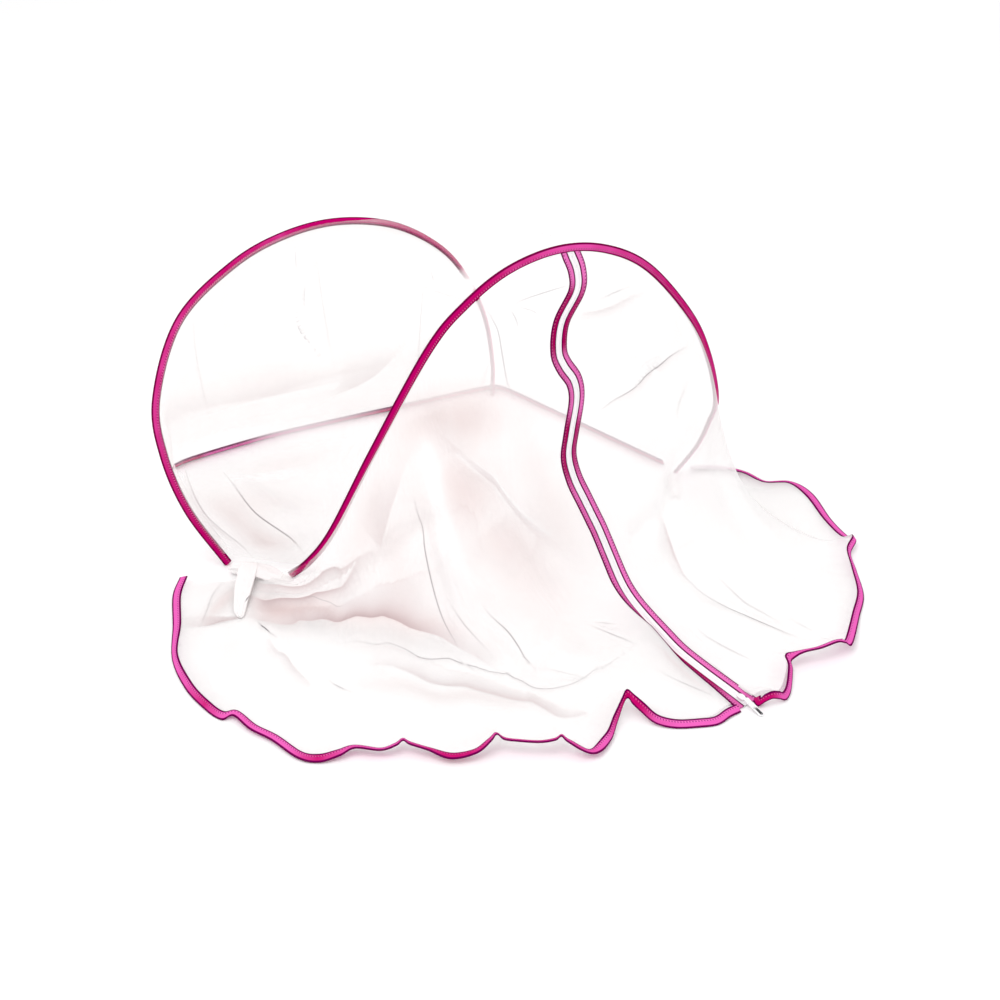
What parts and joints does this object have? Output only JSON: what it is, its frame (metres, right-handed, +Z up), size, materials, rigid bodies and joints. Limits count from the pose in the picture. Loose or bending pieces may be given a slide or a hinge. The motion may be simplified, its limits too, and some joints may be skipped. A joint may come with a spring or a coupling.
{
  "type": "pop-up mosquito net canopy with its sprung hoop frame",
  "caption": "Free-standing pop-up mosquito net canopy on sprung hoops, with a zip down its front net and a bound skirt spread on the floor.",
  "frame": {"origin": "middle of the base on the surface that it stands on", "axes": "+X to the right of the front, +Y to the back, +Z up"},
  "size_m": [0.8846, 0.8088, 0.4649],
  "materials": {
    "net": "fine white netting, see-through",
    "hoop_binding": "woven binding tape sewn over a spring steel wire",
    "hem_binding": "woven binding tape, stitched along its edge",
    "zip_tape": "white zip tape with a closed nylon coil",
    "zip_metal": "white lacquered slider and pull"
  },
  "bodies": {
    "root": {"hoop_back": "hoop_binding", "hoop_front": "hoop_binding", "net_top": "net", "net_back": "net", "net_front_left": "net", "net_front_right": "net", "gather_left": "net", "gather_right": "net", "gather_flap": "net", "hem_back": "hem_binding", "hem_front_left": "hem_binding", "hem_front_right": "hem_binding", "zip_binding_left": "hem_binding", "zip_binding_right": "hem_binding", "zip_tape": "zip_tape", "zip_slider": "zip_metal", "zip_pull": "zip_metal"}
  },
  "joints": []
}
